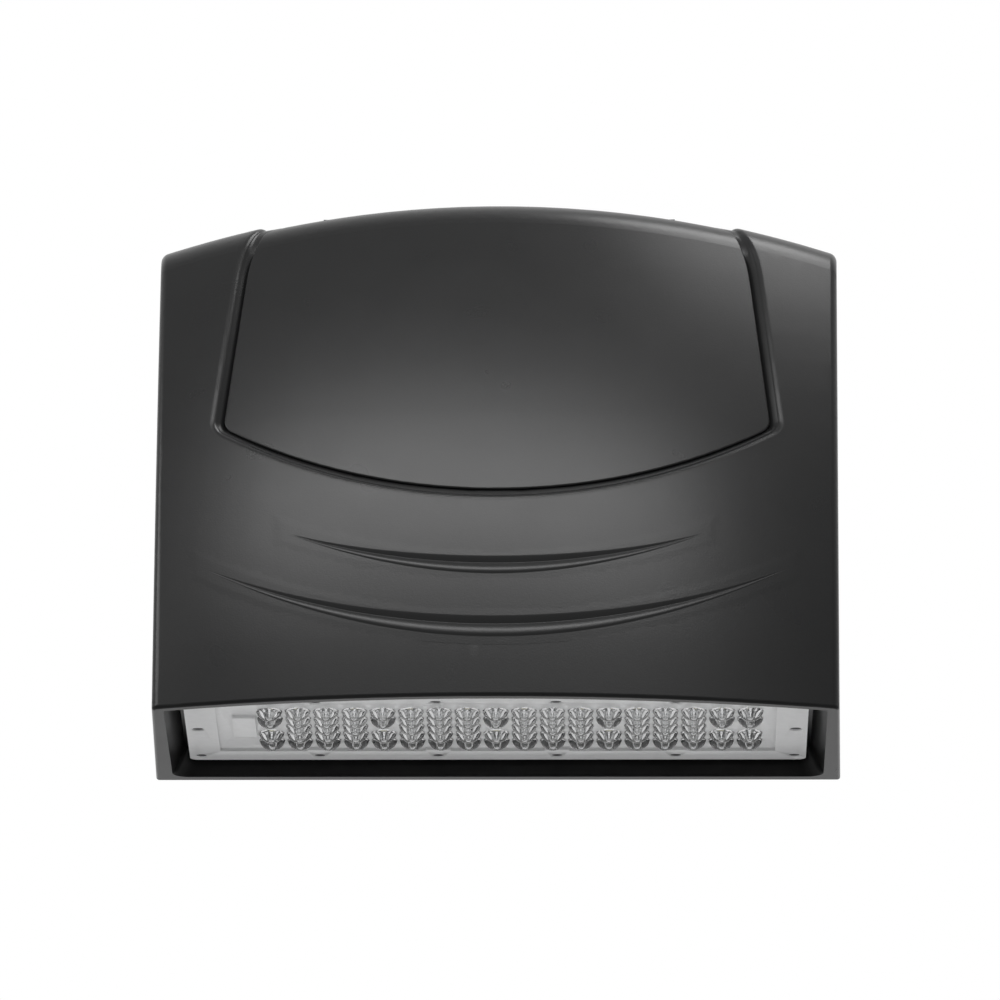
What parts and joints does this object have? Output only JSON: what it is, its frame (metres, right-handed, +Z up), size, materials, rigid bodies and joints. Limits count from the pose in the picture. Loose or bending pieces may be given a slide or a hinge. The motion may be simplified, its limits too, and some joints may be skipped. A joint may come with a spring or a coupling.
{
  "type": "outdoor wall light",
  "caption": "Cast outdoor wall light: a hinged hood with a sunk front panel, a clear optic plate facing down under it, and a shallow wall box with conduit entries.",
  "frame": {"origin": "middle of the four wall-screw holes, in the plane of the wall", "axes": "+X to the right as seen from the front, +Y into the wall, +Z up"},
  "size_m": [0.35, 0.2081, 0.3025],
  "materials": {
    "hood_coat": "dark grey fine-texture powder coat on cast aluminium",
    "box_coat": "dark grey fine-texture powder coat on cast aluminium",
    "clear_plate": "clear moulded polycarbonate",
    "board_white": "white solder mask on an aluminium-core board",
    "chip_yellow": "phosphor-coated LED package",
    "connector_white": "moulded nylon",
    "steel": "stainless steel",
    "dark_steel": "blackened stainless steel",
    "seal_grey": "silicone",
    "pad_grey": "thermal gap pad",
    "driver_alu": "extruded aluminium",
    "cap_black": "moulded plastic",
    "terminal_beige": "moulded polyamide",
    "lead_jacket": "cable jacket",
    "ground_green": "green earthing screw"
  },
  "bodies": {
    "box": {"back_box": "box_coat", "housing_gasket": "seal_grey", "hinge_pins": "steel", "hinge_clips": "steel", "cover_screws": "dark_steel", "conduit_plugs": "box_coat", "plug_rings": "seal_grey", "ground_screw": "ground_green"},
    "hood": {"front_housing": "hood_coat", "lens_plate": "clear_plate", "lens_gasket": "seal_grey", "lens_screws": "dark_steel", "led_board": "board_white", "thermal_pad": "pad_grey", "led_chips": "chip_yellow", "board_connector": "connector_white", "board_screws": "steel", "driver_case": "driver_alu", "driver_end_caps": "cap_black", "driver_screws": "steel", "terminal_block": "terminal_beige", "terminal_screws": "steel", "led_lead": "lead_jacket", "lead_grommet": "seal_grey", "supply_lead": "lead_jacket"}
  },
  "joints": [
    {"name": "hood_hinge", "type": "hinge", "parent": "box", "child": "hood", "pos_m": [0, -0.034, -0.132], "axis": [1, 0, 0], "range_deg": [0, 90]}
  ]
}
